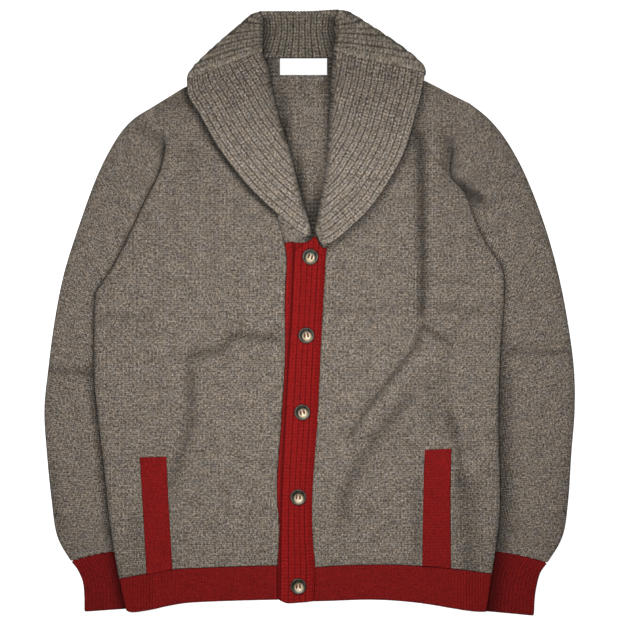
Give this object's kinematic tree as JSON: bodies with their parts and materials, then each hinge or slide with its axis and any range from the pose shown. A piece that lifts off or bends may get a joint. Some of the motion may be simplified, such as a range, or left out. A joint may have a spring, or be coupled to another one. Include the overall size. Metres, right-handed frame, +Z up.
{
  "type": "shawl collar cardigan",
  "caption": "Knitted wool cardigan laid flat, with a ribbed shawl collar, contrasting button band, hem, cuffs and pocket welts.",
  "frame": {"origin": "centre of the bounding box's bottom face, on the surface that the cardigan lies on", "axes": "+X to the wearer's left, +Y from the hem to the collar, +Z up from the surface, out of the fronts"},
  "size_m": [0.6638, 0.7582, 0.017],
  "materials": {
    "grey_wool": "marled grey-brown wool in a fine plain knit, matt with a soft nap",
    "collar_rib": "marled grey-brown wool in a deep rib, matt",
    "band_rib": "dark red wool in a deep lengthwise rib, matt",
    "red_wool": "dark red wool in a fine knit, matt",
    "label_cloth": "plain white woven label, blank",
    "button_horn": "mottled brown horn with a cream centre, polished"
  },
  "bodies": {
    "root": {"back": "grey_wool", "front_right": "grey_wool", "front_left": "grey_wool", "sleeve_right": "grey_wool", "sleeve_left": "grey_wool", "lapel_right": "collar_rib", "lapel_left": "collar_rib", "collar_back": "collar_rib", "band_upper": "band_rib", "band_under": "band_rib", "hem_back": "red_wool", "hem_front_right": "red_wool", "hem_front_left": "red_wool", "welt_right": "red_wool", "welt_left": "red_wool", "cuff_right": "red_wool", "cuff_left": "red_wool", "label": "label_cloth", "button_1": "button_horn", "button_2": "button_horn", "button_3": "button_horn", "button_4": "button_horn", "button_5": "button_horn"}
  },
  "joints": []
}
